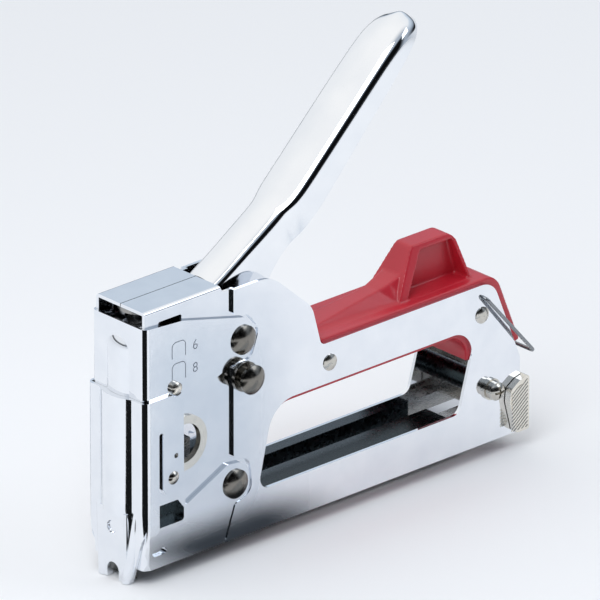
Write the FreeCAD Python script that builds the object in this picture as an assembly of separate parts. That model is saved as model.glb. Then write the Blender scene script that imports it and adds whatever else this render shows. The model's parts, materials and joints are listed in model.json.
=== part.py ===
"""Hand staple gun, in millimetres: x runs from the nose to the heel, y across, z up.

The outline of the side shells is drawn from their own bottom edge. Every piece is raised by
NOSE_DROP as it is written, so that the origin lies on the nose's working face.
"""
import FreeCAD, Part
import os
from math import atan2, cos, degrees, pi, radians, sin, tan

V = FreeCAD.Vector

# Body
LENGTH = 174.6             # front face to the heel of the shells
HEIGHT = 94.9              # bottom edge of the shells to the top plate
SHEET = 1.2                # shells, housing, nose plate and handle
FRONT_INSIDE = 10.9        # half width between the shells at the front
NOSE_DROP = 5.5            # how far the nose stands below the shells
GAP = 0.3                  # between pieces that move past each other
TOUCH = 0.05               # between plates that lie on each other
SEAM = 0.3                 # between the two halves of the top plate

STEP_X = 40.7              # where the shells step out by one sheet
TOP_PLATE_END = 35.6
SHOULDER = 2.5             # drop from the top plate to the hump behind it
GRIP_TOP = 60.0
BAR_HEIGHT = 14.6
OPENING_TOP = 45.0
OPENING_FRONT = 51.8
OPENING_REAR_GAP = 28.8    # from the heel forward to the opening's lower rear corner

# Pivots and fasteners
HANDLE_PIVOT_X = 45.2
HANDLE_PIVOT_DROP = 22.1   # below the top plate
PIVOT_SPACING = 13.3       # handle pivot down to lifter pivot
SHANK = 3.0
RUNNING = 0.05             # radial clearance of a shaft in its bore
HEAD = 5.25
HEAD_HEIGHT = 2.4
LOWER_RIVET = (41.4, 20.5)
GRIP_RIVET = 1.6
GRIP_RIVET_HEAD = 3.0
SCREW = 2.0
SCREW_REAR_GAP = 14.0
SCREW_Z = 20.0

# Drive
SWING = 38.0               # squeeze of the handle, degrees
DRIVE_ARM = 15.0           # handle pivot to drive pin
DRIVE_PIN = 2.5
LIFT_ARM = 36.8            # lifter pivot to the tip
TIP = 3.0
TIP_SLACK = 0.25
LIFTER_HALF = 3.0
BLADE_FRONT = 1.45
BLADE = 1.2
BLADE_HALF = 6.0
PLUNGER_HALF = 8.5
PLUNGER_Z = 29.0
SPRING_WIRE = 2.2
SPRING_RADIUS = 6.2
SPRING_TURNS = 6.5

# Handle
HANDLE_HALF_BASE = 8.0
HANDLE_HALF_GRIP = 10.0
GRIP_ANGLE = 43.6
GRIP_LENGTH = 75.5
GRIP_DEPTH = 12.4

# Magazine
CHANNEL_HALF = 7.6
CHANNEL_TOP = 8.8
CHANNEL_SHEET = 1.0
STAPLE_LEG = 6.3
STAPLE_WIRE = 0.6
STRIP_LENGTH = 50.0
RAIL_HALF = 5.2
KNOB_WING = 2.6

# Bail
BAIL_WIRE = 0.65
BAIL_LENGTH = 33.0
BAIL_SPLAY = 3.5           # how far its corners stand off the shells
BAIL_REST = 50.0           # degrees below horizontal
BAIL_REAR_GAP = 17.8
BAIL_Z = 55.4

# Sizes that follow
FRONT_OUTSIDE = FRONT_INSIDE + SHEET
SIDE = FRONT_OUTSIDE + SHEET
CHEEK = SIDE + SHEET
PIVOT_Z = HEIGHT - HANDLE_PIVOT_DROP
LIFTER_Z = PIVOT_Z - PIVOT_SPACING
HUMP_Z = HEIGHT - SHOULDER
OPENING_REAR = LENGTH - OPENING_REAR_GAP
SCREW_X = LENGTH - SCREW_REAR_GAP
BAIL_X = LENGTH - BAIL_REAR_GAP
GRIP_RIVETS = [(85.2, (GRIP_TOP + OPENING_TOP) / 2), (BAIL_X - 0.3, BAIL_Z - 6.6)]
PIVOT_LEAN = degrees(atan2(DRIVE_ARM * sin(radians(SWING / 2)),
                           PIVOT_SPACING + DRIVE_ARM * cos(radians(SWING / 2))))
LIFT_REST = 2 * PIVOT_LEAN         # the tip's angle below horizontal at rest
TIP_X = HANDLE_PIVOT_X - LIFT_ARM * cos(radians(LIFT_REST))
TIP_Z = LIFTER_Z - LIFT_ARM * sin(radians(LIFT_REST))
PIN_X = HANDLE_PIVOT_X - DRIVE_ARM * sin(radians(SWING / 2))
PIN_Z = PIVOT_Z + DRIVE_ARM * cos(radians(SWING / 2))
BLADE_BACK = BLADE_FRONT + BLADE
STRIP_X = BLADE_BACK + 0.2
STRIP_TOP = CHANNEL_TOP - CHANNEL_SHEET - GAP
STRIP_BOTTOM = STRIP_TOP - STAPLE_LEG
RAIL_TOP = STRIP_TOP - STAPLE_WIRE - TOUCH
BUSH = (18.6, 42.3)


def rounded(corners, y):
    """A closed wire at depth y through corners (x, z, radius), each rounded by its radius."""
    stretches = []
    count = len(corners)
    for i, (x, z, radius) in enumerate(corners):
        here = V(x, y, z)
        back = V(corners[i - 1][0], y, corners[i - 1][1]).sub(here)
        ahead = V(corners[(i + 1) % count][0], y, corners[(i + 1) % count][1]).sub(here)
        back.normalize()
        ahead.normalize()
        half = back.getAngle(ahead) / 2
        if radius == 0 or half > pi / 2 - 0.001:
            stretches.append((here, None, here))
            continue
        reach = radius / tan(half)
        middle = back + ahead
        middle.normalize()
        stretches.append((here + back * reach, here + middle * (radius / sin(half) - radius),
                          here + ahead * reach))
    edges = []
    for i, (start, middle, end) in enumerate(stretches):
        if middle is not None:
            edges.append(Part.Arc(start, middle, end).toShape())
        following = stretches[(i + 1) % count][0]
        if following.sub(end).Length > 0.0001:
            edges.append(Part.makeLine(end, following))
    return Part.Wire(edges)


def plate(corners, low, high):
    """A flat plate with rounded corners, from y = low to y = high."""
    return Part.Face(rounded(corners, low)).extrude(V(0, high - low, 0))


def across(x, z, radius, low, high):
    """A round bar along y."""
    return Part.makeCylinder(radius, high - low, V(x, low, z), V(0, 1, 0))


def block(x0, x1, half, z0, z1):
    """A box centred on y = 0."""
    return Part.makeBox(x1 - x0, 2 * half, z1 - z0, V(x0, -half, z0))


def mirrored(shape):
    return shape.mirror(V(0, 0, 0), V(0, 1, 0))


def joined(*shapes):
    whole = shapes[0]
    for shape in shapes[1:]:
        whole = whole.fuse(shape)
    return whole.removeSplitter()


def both_sides(shape):
    return [shape, mirrored(shape)]


def dome(x, z, radius, rise, y):
    """A domed head whose flat side is at y and which rises towards +y."""
    start, edge, top = V(0, 0, 0), V(radius, 0, 0), V(0, rise, 0)
    sphere = (radius ** 2 + rise ** 2) / (2 * rise)
    lean = atan2(radius, sphere - rise) / 2
    middle = V(sphere * sin(lean), rise - sphere * (1 - cos(lean)), 0)
    wire = Part.Wire([Part.makeLine(start, edge), Part.Arc(edge, middle, top).toShape(),
                      Part.makeLine(top, start)])
    head = Part.Face(wire).revolve(V(0, 0, 0), V(0, 1, 0), 360)
    head.translate(V(x, y, z))
    return head


def headed(x, z, radius, rise, rim, y):
    """A dome on a short round rim, standing on y."""
    return joined(across(x, z, radius, y, y + rim), dome(x, z, radius, rise - rim, y + rim))


def coil(radius, wire, turns, length):
    """A helical spring along +z from the origin, its wire inside 0 to length."""
    pitch = (length - wire) / turns
    spine = Part.makeHelix(pitch, length - wire, radius)
    ring = Part.Wire(Part.makeCircle(wire / 2, V(radius, 0, 0), V(0, 1, 0)))
    spring = Part.Wire(spine.Edges).makePipeShell([ring], True, True)
    spring.translate(V(0, 0, wire / 2))
    return spring


def write(node, shape):
    """Raises a piece to the row's origin and writes it."""
    solids = shape if isinstance(shape, list) else [shape]
    raised = [solid.copy() for solid in solids]
    for solid in raised:
        solid.translate(V(0, 0, NOSE_DROP))
    whole = raised[0] if len(raised) == 1 else Part.makeCompound(raised)
    whole.exportStep("parts/%s.step" % node)
    print(node, len(whole.Solids), "solids, volume", round(whole.Volume), "valid", whole.isValid())


# The side shells and the two outer stampings

def shell_outline():
    slope = 13.0           # how far the rear slope leans forward between its two corners
    return [(SHEET + TOUCH, 0, 0), (LENGTH, 0, 3), (LENGTH, 28, 4),
            (LENGTH - slope, GRIP_TOP, 8), (81.2, GRIP_TOP, 2.5),
            (77, PIVOT_Z + 2.7, 10), (58, HUMP_Z, 15), (TOP_PLATE_END + 1.2, HUMP_Z, 0.6),
            (TOP_PLATE_END, HEIGHT, 0), (SHEET + TOUCH, HEIGHT, 0)]


def hand_opening():
    return [(OPENING_FRONT, BAR_HEIGHT, 4), (OPENING_REAR, BAR_HEIGHT, 4),
            (OPENING_REAR + 8.8, OPENING_TOP, 8.7), (OPENING_FRONT + 7.2, OPENING_TOP, 12)]


def upper_ear(grow):
    """Rear edge of the housing's upper ear, from its top down, grown outwards by grow."""
    x, z = HANDLE_PIVOT_X, PIVOT_Z
    return [(x + 2.4, z + 7.6 + grow, 5), (x + 6.4 + grow, z + 2, 5),
            (x + 2.6 + grow, z - 7 - grow, 4), (x - 6.4, z - 8.2 - grow, 6)]


def lower_ear(grow):
    """Rear edge of the housing's lower ear, from its top down, grown outwards by grow."""
    x, z = LOWER_RIVET
    return [(x - 3.5, z + 8 + grow, 2.5), (x + 5.6 + grow, z + 7 + grow, 5),
            (x + 7 + grow, z - 4.5 - grow, 5), (x - 0.8 + grow, z - 7.4, 1.5)]


def recess():
    """The region where the shells are pressed in by one sheet to take the housing's ears."""
    low, high = -5, HEIGHT + 5
    return ([(-5, high, 0), (STEP_X, high, 0), (STEP_X, PIVOT_Z + 10.6, 1)]
            + upper_ear(1)[:3] + [(STEP_X, PIVOT_Z - 8.6, 1), (STEP_X, LOWER_RIVET[1] + 9.6, 1)]
            + lower_ear(1)[1:] + [(LOWER_RIVET[0] - 4.5, 0, 0), (LOWER_RIVET[0] - 4.5, low, 0),
                                  (-5, low, 0)])


def grown(corners, amount):
    """A plate's outline moved outwards, as a face at y = 0."""
    return Part.Face(rounded(corners, 0)).makeOffset2D(amount, 0, False, False, True)


def nose_corners():
    """The two wedges that the lower front corners of the stampings are pressed in by."""
    fold_top, bottom, inwards, back = 20, -NOSE_DROP - 1, 6.0, 8
    front, wide = -4, CHEEK + 2
    corners = [V(front, CHEEK, fold_top), V(front, CHEEK - inwards, bottom),
               V(back, CHEEK, bottom), V(front, wide, fold_top), V(front, wide, bottom),
               V(back, wide, bottom)]
    faces = [(0, 1, 2), (0, 3, 4, 1), (0, 2, 5, 3), (3, 5, 4), (1, 4, 5, 2)]
    shell = Part.makeShell([Part.Face(Part.makePolygon([corners[i] for i in face]
                                                       + [corners[face[0]]])) for face in faces])
    wedge = Part.makeSolid(shell)
    if wedge.Volume < 0:
        wedge.reverse()
    return both_sides(wedge)


def window():
    return [(5.7, 14.4, 1), (17.8, 14.4, 1.2), (17.8, 19, 1), (15, 22.7, 1), (5.7, 22.7, 1)]


def right_shell():
    """The +y shell: pressed in at the front, standing out by one sheet behind the step."""
    whole = plate(shell_outline(), FRONT_INSIDE, SIDE)
    region = Part.Face(rounded(recess(), FRONT_INSIDE)).extrude(V(0, 2 * SHEET, 0))
    wider = grown(recess(), SHEET)
    wider.translate(V(0, FRONT_INSIDE, 0))
    inner = whole.common(wider.extrude(V(0, SHEET, 0)))
    outer = whole.cut(region).common(block(-1, LENGTH + 1, SIDE, -1, HEIGHT + 1)
                                     .cut(block(-2, LENGTH + 2, FRONT_OUTSIDE, -2, HEIGHT + 2)))
    flange = Part.makeBox(TOP_PLATE_END - SHEET - TOUCH, FRONT_OUTSIDE - SEAM / 2, SHEET,
                          V(SHEET + TOUCH, SEAM / 2, HEIGHT - SHEET))
    shell = joined(inner, outer, flange)
    fold = [edge for edge in shell.Edges
            if all(abs(v.Y - FRONT_OUTSIDE) + abs(v.Z - HEIGHT) < 0.01 for v in edge.Vertexes)]
    shell = shell.makeFillet(SHEET * 0.95, fold)
    low, high = FRONT_INSIDE - 1, SIDE + 1
    cuts = [plate(hand_opening(), low, high), plate(window(), low, high),
            plate([(7.4, 86, 0), (18, 86, 0), (18, HEIGHT - 4.9, 0.8), (7.4, HEIGHT - 4.9, 0.8)],
                  low, high),
            across(HANDLE_PIVOT_X, PIVOT_Z, SHANK, low, high),
            across(HANDLE_PIVOT_X, LIFTER_Z, SHANK, low, high),
            across(LOWER_RIVET[0], LOWER_RIVET[1], SHANK, low, high),
            across(BUSH[0], BUSH[1], 8.4, low, high),
            across(SCREW_X, SCREW_Z, SCREW + 0.1, low, high),
            across(BAIL_X, BAIL_Z, BAIL_WIRE + RUNNING, low, high)]
    cuts += [across(x, z, GRIP_RIVET, low, high) for x, z in GRIP_RIVETS]
    return shell.cut(Part.makeCompound(cuts))


def folded_sheet(front, back, half, low, high, bend):
    """A sheet folded round the front: a wall at x = front and two side walls."""
    outer = block(front, back, half, low, high)
    upright = [edge for edge in outer.Edges
               if all(abs(v.X - front) < 0.01 for v in edge.Vertexes)
               and abs(edge.Length - (high - low)) < 0.01]
    return outer.makeFillet(bend, upright)


def housing_outline():
    x, z = BUSH
    return ([(-3, HEIGHT - 5.4, 0), (17.5, HEIGHT - 6.9, 0)] + upper_ear(0)
            + [(28.2, PIVOT_Z - 12.1, 8), (18.4, z + 11.6, 1), (x - 11.4, z + 11.6, 1),
               (x - 11.4, z - 11.2, 1), (18.4, z - 11.2, 1), (18.4, 19.3, 0.8)]
            + lower_ear(0) + [(LOWER_RIVET[0] - 5.3, 0, 2), (-3, 0, 0)])


def front_rib(half, rise, low, high):
    """An upright rib on the front wall: a bulged face that ends in a dome at its top."""
    radius = (half ** 2 + rise ** 2) / (2 * rise)
    end = high - half
    bulge = Part.makeCylinder(radius, end - low, V(radius - rise, 0, low))
    cap = Part.makeSphere(radius, V(radius - rise, 0, end))
    cap = cap.common(Part.makeBox(rise + 1, 2 * half, half, V(-rise, -half, end)))
    bulge = bulge.common(Part.makeBox(rise + 1, 2 * half, end - low, V(-rise, -half, low)))
    return joined(bulge, cap).common(block(-rise - 1, SHEET / 2, half, low, high))


HOUSING_RIB = (5.6, 1.35)  # half width and rise


def front_housing():
    body = folded_sheet(0, 60, SIDE, -1, HEIGHT, 2.2)
    body = body.cut(block(SHEET, 70, FRONT_OUTSIDE + TOUCH / 2, -2, HEIGHT + 1))
    body = body.common(plate(housing_outline(), -SIDE - 1, SIDE + 1))
    half, rise = HOUSING_RIB
    body = joined(body, front_rib(half, rise, 0, 83.5))
    hollow = block(0.3, SHEET + 1, half - SHEET, -1, 82)
    cuts = [hollow] + nose_corners()
    for side in (-1, 1):
        low, high = sorted((side * (FRONT_INSIDE - 1), side * (SIDE + 1)))
        cuts += [across(HANDLE_PIVOT_X, PIVOT_Z, SHANK, low, high), plate(window(), low, high),
                 across(LOWER_RIVET[0], LOWER_RIVET[1], SHANK, low, high),
                 across(*STUD, 2.3, low, high), across(*NOSE_RIVET, 1.2, low, high),
                 plate([(3.3, 4.5, 1.2), (9.7, 4.5, 1.2), (9.7, 7, 1.2), (3.3, 7, 1.2)], low, high)]
    return body.cut(Part.makeCompound(cuts))


NOSE_TOP = 62.6            # upper edge of the nose plate
BULGE_RADIUS = 14.5
BULGE_RISE = 2.4
BULGE_FOOT = 18.5          # the bulge ends here, above the flat tip
TAPER_TOP = 17.0           # the nose narrows from here down to its tip
TIP_HALF = 7.2
TIP_RISE = 1.5             # how far the flat tip stands in front of the sheet
ARCH = 2.9                 # half width of the notch that the staples leave by
ARCH_HEIGHT = 3.1
NOSE_RIVET = (12.1, 32)
STUD = (13.8, 64.4)


def nose_outline():
    """Side view of the nose plate: a narrow strip in front of a slot, and a wider flange."""
    return [(-6, NOSE_TOP, 0), (16.8, NOSE_TOP, 1), (16.8, 31, 0.6), (14.6, 26.8, 0.6),
            (8.2, 26.8, 0.6), (7.4, 28.6, 0.4), (7.4, 50, 0.9), (5.6, 50, 0.9), (5.6, 13, 2),
            (1, 13, 1), (1, -NOSE_DROP, 0), (-6, -NOSE_DROP, 0)]


def nose_bulge():
    """What stands in front of the folded sheet: a bulge over the housing's rib, and the tip."""
    half = HOUSING_RIB[0]
    centre = V(BULGE_RADIUS - SHEET - BULGE_RISE, 0, BULGE_FOOT)
    bulge = Part.makeCylinder(BULGE_RADIUS, NOSE_TOP - BULGE_FOOT, centre)
    bulge = bulge.common(block(-6, -TOUCH, half + 3.2, BULGE_FOOT - 1, NOSE_TOP + 1))
    tip = block(-SHEET - TIP_RISE, -TOUCH, TIP_HALF - 0.4, -NOSE_DROP - 1, BULGE_FOOT + 1.5)
    return joined(bulge, tip)


def tip_ridge(side):
    """One of the two ridges that lean in towards the tip, sunk into the sheet at its top."""
    radius, proud = 2.2, 0.8
    foot = V(radius - SHEET - TIP_RISE - proud, side * (TIP_HALF - 1.6), -NOSE_DROP - 1)
    head = V(radius - SHEET - TOUCH, side * 9.2, 21)
    return Part.makeCylinder(radius, head.sub(foot).Length, foot, head.sub(foot))


def tip_taper(side):
    """What is cut from the front wall so that it narrows to the tip."""
    far = CHEEK + 9
    corners = [V(-9, side * (CHEEK + 0.1), TAPER_TOP), V(-9, side * TIP_HALF, -NOSE_DROP - 1),
               V(-9, side * far, -NOSE_DROP - 1), V(-9, side * far, TAPER_TOP)]
    return Part.Face(Part.makePolygon(corners + corners[:1])).extrude(V(9 - TOUCH, 0, 0))


def nose_plate():
    half, rise = HOUSING_RIB
    body = folded_sheet(-SHEET, 30, CHEEK, -NOSE_DROP - 1, HEIGHT, 2.6)
    body = body.cut(block(-TOUCH / 2, 40, SIDE + TOUCH / 2, -NOSE_DROP - 2, HEIGHT + 1))
    body = body.common(plate(nose_outline(), -CHEEK - 1, CHEEK + 1))
    body = joined(body, nose_bulge(), tip_ridge(-1), tip_ridge(1))
    body = body.common(block(-9, 40, 20, -NOSE_DROP, HEIGHT))
    arch = joined(block(-9, 9, ARCH, -NOSE_DROP - 1, -NOSE_DROP + ARCH_HEIGHT),
                  Part.makeCylinder(ARCH, 18, V(-9, 0, -NOSE_DROP + ARCH_HEIGHT), V(1, 0, 0)))
    crescent = Part.makeCylinder(2.3, 9, V(-9, 0.6, 13.4), V(1, 0, 0)).cut(
        Part.makeCylinder(2.0, 9, V(-9, -0.5, 14.1), V(1, 0, 0)))
    cuts = [front_rib(half + TOUCH, rise + TOUCH, -0.01, 82), tip_taper(-1), tip_taper(1),
            block(-TOUCH, 9, half + 3, -NOSE_DROP - 1, 20),
            block(-TOUCH, 40, SIDE, -NOSE_DROP - 1, HEIGHT), arch, crescent] + nose_corners()
    for side in (-1, 1):
        low, high = sorted((side * (SIDE - 1), side * (CHEEK + 1)))
        cuts += [across(13.3, 39.9, 0.9, low, high), across(*NOSE_RIVET, 1.2, low, high),
                 across(*STUD, 2.7, low, high)]
    for cut in cuts:
        body = body.cut(cut)
    return body


# Fasteners and small pieces on the sides

def upper_rivet():
    head = headed(HANDLE_PIVOT_X, PIVOT_Z, HEAD, HEAD_HEIGHT, 0.7, SIDE)
    return joined(across(HANDLE_PIVOT_X, PIVOT_Z, SHANK, -SIDE, SIDE), *both_sides(head))


def lifter_pivot():
    x, z = HANDLE_PIVOT_X, LIFTER_Z
    collar = across(x, z, 5.4, SIDE, SIDE + 1.3)
    neck = across(x, z, 3.6, SIDE, SIDE + 4.2)
    head = headed(x, z, HEAD, 2.8, 0.9, SIDE + 4.2)
    return joined(across(x, z, SHANK, -SIDE, SIDE), *both_sides(joined(collar, neck, head)))


def lower_rivet():
    x, z = LOWER_RIVET
    head = headed(x, z, HEAD, HEAD_HEIGHT, 0.7, SIDE)
    return joined(across(x, z, SHANK, -SIDE, SIDE), *both_sides(head))


def grip_rivets():
    rivets = []
    for x, z in GRIP_RIVETS:
        head = headed(x, z, GRIP_RIVET_HEAD, 1.1, 0.3, SIDE)
        rivets.append(joined(across(x, z, GRIP_RIVET, -SIDE, SIDE), *both_sides(head)))
    return rivets


def nose_plate_rivets():
    rivet = joined(across(*NOSE_RIVET, 1.2, FRONT_OUTSIDE + TOUCH, CHEEK),
                   dome(*NOSE_RIVET, 2.4, 1.1, CHEEK))
    return both_sides(rivet)


def locating_studs():
    return both_sides(headed(*STUD, 2.3, 3.2, 2.3, FRONT_OUTSIDE + TOUCH))


def window_bushes():
    """A flanged ring in each round side hole."""
    x, z = BUSH
    ring = joined(across(x, z, 10.1, FRONT_OUTSIDE, FRONT_OUTSIDE + 1),
                  across(x, z, 8.4, FRONT_INSIDE, FRONT_OUTSIDE))
    return both_sides(ring.cut(across(x, z, 7.1, 0, CHEEK)))


WASHER_TOP = SIDE + 1.0
LOCK_TOP = SIDE + 2.2


def rear_screw():
    rise, recess = 3.0, 1.6
    head = headed(SCREW_X, SCREW_Z, 3.3, rise, 1.3, LOCK_TOP)
    for width, height in ((0.9, 4.2), (4.2, 0.9)):
        corner = V(SCREW_X - width / 2, LOCK_TOP + rise - recess, SCREW_Z - height / 2)
        head = head.cut(Part.makeBox(width, rise, height, corner))
    shank = across(SCREW_X, SCREW_Z, SCREW, -SIDE - 5, LOCK_TOP)
    return mirrored(joined(shank, head))


def rear_washers():
    hole = across(SCREW_X, SCREW_Z, SCREW, 0, 30)
    washer = across(SCREW_X, SCREW_Z, 3.9, SIDE, WASHER_TOP).cut(hole)
    lock = across(SCREW_X, SCREW_Z, 3.4, WASHER_TOP, LOCK_TOP).cut(hole)
    return [mirrored(washer), mirrored(lock), washer]


def rear_nut():
    reach = 4.2
    points = [V(SCREW_X + reach * cos(i * pi / 3), WASHER_TOP, SCREW_Z + reach * sin(i * pi / 3))
              for i in range(7)]
    nut = Part.Face(Part.makePolygon(points)).extrude(V(0, 3.2, 0))
    return nut.cut(across(SCREW_X, SCREW_Z, SCREW, 0, 30))


def rear_spacer():
    sleeve = across(SCREW_X, SCREW_Z, 4.0, -FRONT_OUTSIDE, FRONT_OUTSIDE)
    return sleeve.cut(across(SCREW_X, SCREW_Z, SCREW, -20, 20))


def bent_wire(points, radius, bend):
    """A round wire along straight runs, with an arc at every inner point."""
    runs = []
    start = points[0]
    for before, here, after in zip(points, points[1:], points[2:]):
        back, ahead = before.sub(here).normalize(), after.sub(here).normalize()
        half = back.getAngle(ahead) / 2
        reach = bend / tan(half)
        middle = (back + ahead).normalize()
        runs += [Part.makeLine(start, here + back * reach),
                 Part.Arc(here + back * reach, here + middle * (bend / sin(half) - bend),
                          here + ahead * reach).toShape()]
        start = here + ahead * reach
    runs.append(Part.makeLine(start, points[-1]))
    section = Part.Wire(Part.makeCircle(radius, points[0], points[1].sub(points[0])))
    return Part.Wire(runs).makePipeShell([section], True, True)


def lock_bail():
    """One bent wire: two ends in the shells' holes, two splayed legs and a cross bar."""
    lean = radians(BAIL_REST)
    root = V(BAIL_X, 0, BAIL_Z)
    foot = root + V(cos(lean), 0, -sin(lean)) * BAIL_LENGTH
    side = V(0, 1, 0)
    bend = 1.6
    half = bent_wire([root + side * (FRONT_OUTSIDE - 1.2), root + side * (SIDE + bend + GAP),
                      foot + side * (SIDE + BAIL_SPLAY), foot], BAIL_WIRE, bend)
    return joined(half, mirrored(half))


# The plastic grip insert

def insert_outline():
    proud = 1.5
    lining = 1.8           # how far it hangs below the top of the hand opening
    spine = 3.4            # how far its rear strip stands behind the shells' rear slope
    x, top = LENGTH, GRIP_TOP + proud
    return [(57.6, 33.6, 0.6), (58.4, 36.5, 3), (OPENING_FRONT + 9.2, OPENING_TOP - lining, 10),
            (OPENING_REAR + 7.2, OPENING_TOP - lining, 8.2), (OPENING_REAR + 4.4, 33, 0.6),
            (x - 3, 33, 1), (x - 2.4 + spine, 33.8, 0.5), (x - 13.6 + spine, top, 8),
            (82.5, top, 1),
            (81.2, GRIP_TOP - 2, 1), (66, GRIP_TOP - 2, 3), (54.9, 44, 2), (54.4, 33.6, 0.6)]


def grip_insert():
    half = FRONT_OUTSIDE - TOUCH
    body = plate(insert_outline(), -half, half)
    rear = LENGTH
    ridge = plate([(82.6, GRIP_TOP, 0), (82.6, GRIP_TOP + 5.6, 1), (100, GRIP_TOP + 6.6, 30),
                   (122, GRIP_TOP + 13.5, 0), (124, GRIP_TOP, 0)], -8, 8)
    hump_top = GRIP_TOP + 18.6
    hump = [(120.5, GRIP_TOP, 0), (132, hump_top, 2.5), (rear - 24.5, hump_top, 4.5),
            (rear - 18, GRIP_TOP, 0)]
    pocket = [(127.5, GRIP_TOP + 2.5, 1), (134, hump_top - 3, 0.8),
              (rear - 27.5, hump_top - 3, 1.5), (rear - 22, GRIP_TOP + 2.5, 1)]
    body = joined(body, ridge, plate(hump, -8.6, 8.6))
    cuts = [plate(pocket, 3.2, 10), plate(pocket, -10, -3.2)]
    cuts += [across(x, z, GRIP_RIVET, -20, 20) for x, z in GRIP_RIVETS]
    cuts.append(across(BAIL_X, BAIL_Z, BAIL_WIRE + GAP, -20, 20))
    return body.cut(Part.makeCompound(cuts))


# The handle and the drive

def handle_frame():
    """The grip section's own axes: its start on the top line, along it, and upwards from it."""
    lean = radians(GRIP_ANGLE)
    start = V(HANDLE_PIVOT_X + 28.2, 0, PIVOT_Z + 43.6)
    return start, V(cos(lean), 0, sin(lean)), V(-sin(lean), 0, cos(lean))


def handle_top(drop, trim):
    """The line of the web, moved down into the channel by drop, and short of the end by trim."""
    start, along, up = handle_frame()
    x, z = HANDLE_PIVOT_X, PIVOT_Z
    knee = start - up * drop
    tip = start + along * (GRIP_LENGTH - trim) - up * (drop + 4)
    shoulder = start + along * (GRIP_LENGTH - 11) - up * drop
    return [(x - 7.6 + drop * 0.5, z + 20.6 - drop * 0.86, 0),
            (x + 17 + drop * 0.55, z + 35 - drop * 0.82, 30), (knee.x, knee.z, 30),
            (shoulder.x, shoulder.z, 8 - drop), (tip.x, tip.z, 3.5 - trim)]


def handle_side():
    """The whole side view of the handle: web, end, lower edge and pivot lobe."""
    start, along, up = handle_frame()
    x, z = HANDLE_PIVOT_X, PIVOT_Z
    heel = start + along * (GRIP_LENGTH - 2) - up * 9.5
    mid = start + along * 2 - up * GRIP_DEPTH
    return handle_top(0, 0) + [(heel.x, heel.z, 2), (mid.x, mid.z, 30), (x + 24, z + 24, 20),
                               (x + 10, z + 12, 12), (x + 7.5, z - 7.5, 7),
                               (x - 7.5, z - 7.5, 7), (x - 8.4, z + 12, 6)]


def channel_stretch(half):
    """The handle as a solid bar as wide as half each side, and the hollow of its channel."""
    outside = plate(handle_side(), -half, half)
    open_side = [(HANDLE_PIVOT_X + 110, PIVOT_Z + 40, 0), (HANDLE_PIVOT_X + 60, PIVOT_Z - 30, 0),
                 (HANDLE_PIVOT_X - 30, PIVOT_Z - 30, 0), (HANDLE_PIVOT_X - 30, PIVOT_Z + 3, 0)]
    inside = plate(handle_top(SHEET, SHEET) + open_side, SHEET - half, half - SHEET)
    return outside, inside


def handle():
    start, along = handle_frame()[:2]
    base_zone = Part.makeBox(200, 60, 300, V(-200, -30, -150))
    base_zone.rotate(V(0, 0, 0), V(0, 1, 0), -GRIP_ANGLE)
    base_zone.translate(start - along * 6)
    shoulder = base_zone.copy()
    shoulder.translate(along * SHEET)
    grip, grip_hollow = channel_stretch(HANDLE_HALF_GRIP)
    base, base_hollow = channel_stretch(HANDLE_HALF_BASE)
    channel = joined(grip.cut(base_zone).cut(grip_hollow), base.common(base_zone).cut(base_hollow),
                     grip.common(shoulder.cut(base_zone)).cut(base_hollow))
    cuts = [across(HANDLE_PIVOT_X, PIVOT_Z, SHANK + RUNNING, -20, 20),
            across(PIN_X, PIN_Z, DRIVE_PIN, -20, 20)]
    return channel.cut(Part.makeCompound(cuts))


def drive_pin():
    half = HANDLE_HALF_BASE
    return across(PIN_X, PIN_Z, DRIVE_PIN, -half, half)


def turned(x, z, angle, reach, offset=0):
    """A point at reach along a direction angle degrees above +x, and offset to its left."""
    a = radians(angle)
    return (x + reach * cos(a) - offset * sin(a), z + reach * sin(a) + offset * cos(a))


def lifter():
    """The lever: a forked arm up to the drive pin and a long arm forward to the plunger."""
    x, z = HANDLE_PIVOT_X, LIFTER_Z
    up = 90 + PIVOT_LEAN
    forward = 180 + LIFT_REST
    pin = DRIVE_ARM + PIVOT_SPACING
    fork = 5.4
    nose = TIP - 0.3       # the arm widens from here, and is as wide as TIP at the tip's centre
    points = [turned(x, z, up, pin + 1.2, -fork) + (1.2,), turned(x, z, up, pin + 1.2, fork) + (1.2,),
              turned(x, z, up, 16, 9.4) + (5,), turned(x, z, up, 9, 9.4) + (4,),
              turned(x, z, forward, 9, -4.2) + (4,),
              turned(x, z, forward, LIFT_ARM + TIP, -nose) + (nose * 0.98,),
              turned(x, z, forward, LIFT_ARM + TIP, nose) + (nose * 0.98,),
              turned(x, z, forward, 0, 7.4) + (6,), turned(x, z, up, 0, -8) + (6,),
              turned(x, z, up, 12, -9.4) + (5,)]
    body = plate(points, -LIFTER_HALF, LIFTER_HALF)
    hub = HANDLE_HALF_BASE - SHEET - GAP
    body = joined(body, across(x, z, 6, -hub, hub))
    slot_half = DRIVE_PIN + 0.15
    slot = [turned(x, z, up, pin - DRIVE_PIN - 1.2, slot_half) + (2,),
            turned(x, z, up, pin + 9, slot_half) + (0,), turned(x, z, up, pin + 9, -slot_half) + (0,),
            turned(x, z, up, pin - DRIVE_PIN - 1.2, -slot_half) + (2,)]
    sweep = PIVOT_SPACING * sin(radians(PIVOT_LEAN))
    wide = SHANK + sweep + 0.5
    pivot_window = [turned(x, z, up, PIVOT_SPACING + side * (SHANK + 0.6), lean) + (2.5,)
                    for side, lean in ((-1, -wide), (-1, wide), (1, wide), (1, -wide))]
    cuts = [plate(slot, -9, 9), plate(pivot_window, -9, 9),
            across(x, z, SHANK + RUNNING, -20, 20)]
    return body.cut(Part.makeCompound(cuts))


def plunger_top():
    return TIP_Z + TIP + TIP_SLACK + 6


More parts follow.
